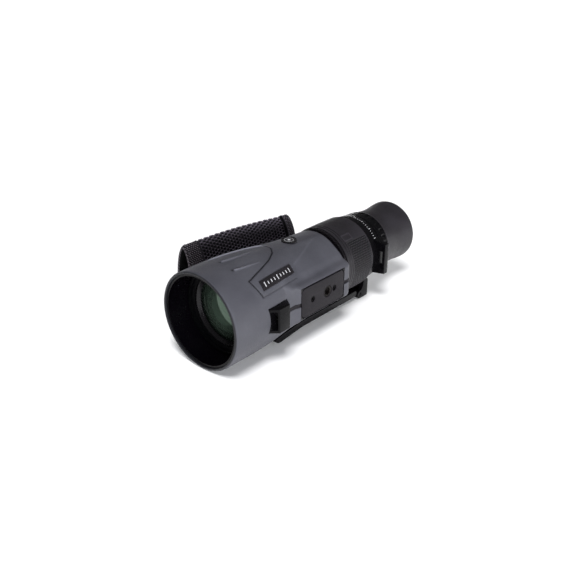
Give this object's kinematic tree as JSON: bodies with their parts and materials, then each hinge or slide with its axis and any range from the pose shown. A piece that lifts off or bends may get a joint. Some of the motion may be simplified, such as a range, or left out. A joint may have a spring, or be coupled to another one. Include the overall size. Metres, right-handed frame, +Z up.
{
  "type": "spotting scope",
  "caption": "Straight handheld spotting scope with a ribbed focus ring, flared rubber eyecup, side accessory plate, belt clip below and padded hand strap.",
  "frame": {"origin": "on the ground below the middle of the object's box, as it lies on its bell and on the heel of its clip", "axes": "+Y along the optical axis from the objective to the eyepiece, +X towards the side with the accessory plate, +Z up"},
  "size_m": [0.1102, 0.238, 0.0772],
  "materials": {
    "armour": "moulded satin grey rubber armour",
    "rubber": "matte black rubber",
    "anodised": "satin black anodised",
    "plate": "matte dark grey coated metal",
    "plastic": "semi-gloss black moulding",
    "tube": "black coated alloy tube",
    "cell": "dull blackened",
    "steel": "satin steel",
    "brass": "blackened brass insert",
    "coated_glass": "green multi-coated optical glass",
    "glass": "clear optical glass",
    "badge": "dark blank inlay",
    "badge_metal": "satin metal inlay",
    "air_mesh": "black padded air-mesh",
    "webbing": "black woven nylon webbing"
  },
  "bodies": {
    "root": {"rubber_armour": "armour", "main_tube": "tube", "mount_block": "plate", "accessory_plate": "plate", "tripod_bush": "brass", "plate_screw_front": "steel", "plate_screw_rear": "steel", "front_lug_near": "plastic", "front_lug_far": "plastic", "name_badge": "badge", "round_badge": "badge_metal", "objective_cell": "cell", "objective_seal": "rubber", "objective_retaining_ring": "anodised", "objective_crown_lens": "coated_glass", "objective_flint_lens": "glass", "light_baffle": "cell", "prism_cage": "anodised", "entrance_prism": "glass", "roof_prism": "glass", "prism_clip": "steel", "rear_barrel": "tube", "rear_seal": "rubber", "rear_lug_ring": "plastic", "reticle_cell": "cell", "reticle_retainer": "anodised", "reticle_disc": "glass", "clip_bracket": "plastic", "clip_screw_left": "steel", "clip_screw_right": "steel", "clip_pin": "steel", "clip_spring": "steel", "strap_sleeve": "air_mesh", "strap_webbing": "webbing"},
    "focus_ring_body": {"focus_ring": "anodised", "focus_grip": "rubber", "focus_cam_sleeve": "anodised"},
    "focus_lens_group": {"focus_cell": "cell", "focus_cam_pin": "steel", "focus_front_lens": "glass", "focus_rear_lens": "glass", "focus_retainer": "anodised"},
    "eyepiece_body": {"eyepiece_barrel": "anodised", "field_lens": "glass", "field_spacer": "cell", "middle_lens": "glass", "eye_spacer": "cell", "eye_lens": "coated_glass", "eyepiece_retainer": "anodised"},
    "diopter_body": {"diopter_ring": "plastic", "eyecup": "rubber"},
    "clip_arm_body": {"clip_arm": "plastic"}
  },
  "joints": [
    {"name": "focus_turn", "type": "hinge", "parent": "root", "child": "focus_ring_body", "pos_m": [0.0119, 0.034, 0.0386], "axis": [0, 1, 0], "range_deg": [-90, 90]},
    {"name": "focus_slide", "type": "slide", "parent": "root", "child": "focus_lens_group", "axis": [0, 1, 0], "range_m": [-0.004, 0.004]},
    {"name": "eyepiece_slide", "type": "slide", "parent": "root", "child": "eyepiece_body", "axis": [0, 1, 0], "range_m": [-0.001, 0.001]},
    {"name": "diopter_turn", "type": "hinge", "parent": "eyepiece_body", "child": "diopter_body", "pos_m": [0.0119, 0.081, 0.0386], "axis": [0, 1, 0], "range_deg": [-120, 120]},
    {"name": "clip_open", "type": "hinge", "parent": "root", "child": "clip_arm_body", "pos_m": [0.0119, 0.0496, 0.004], "axis": [1, 0, 0], "range_deg": [0, 10], "stiffness_Nm_per_rad": 0.4, "springref_deg": -17.19}
  ],
  "couplings": [
    {"joint": "focus_slide", "follows": "focus_turn", "m_per_rad": 0.002546},
    {"joint": "eyepiece_slide", "follows": "diopter_turn", "m_per_rad": 0.000477}
  ]
}
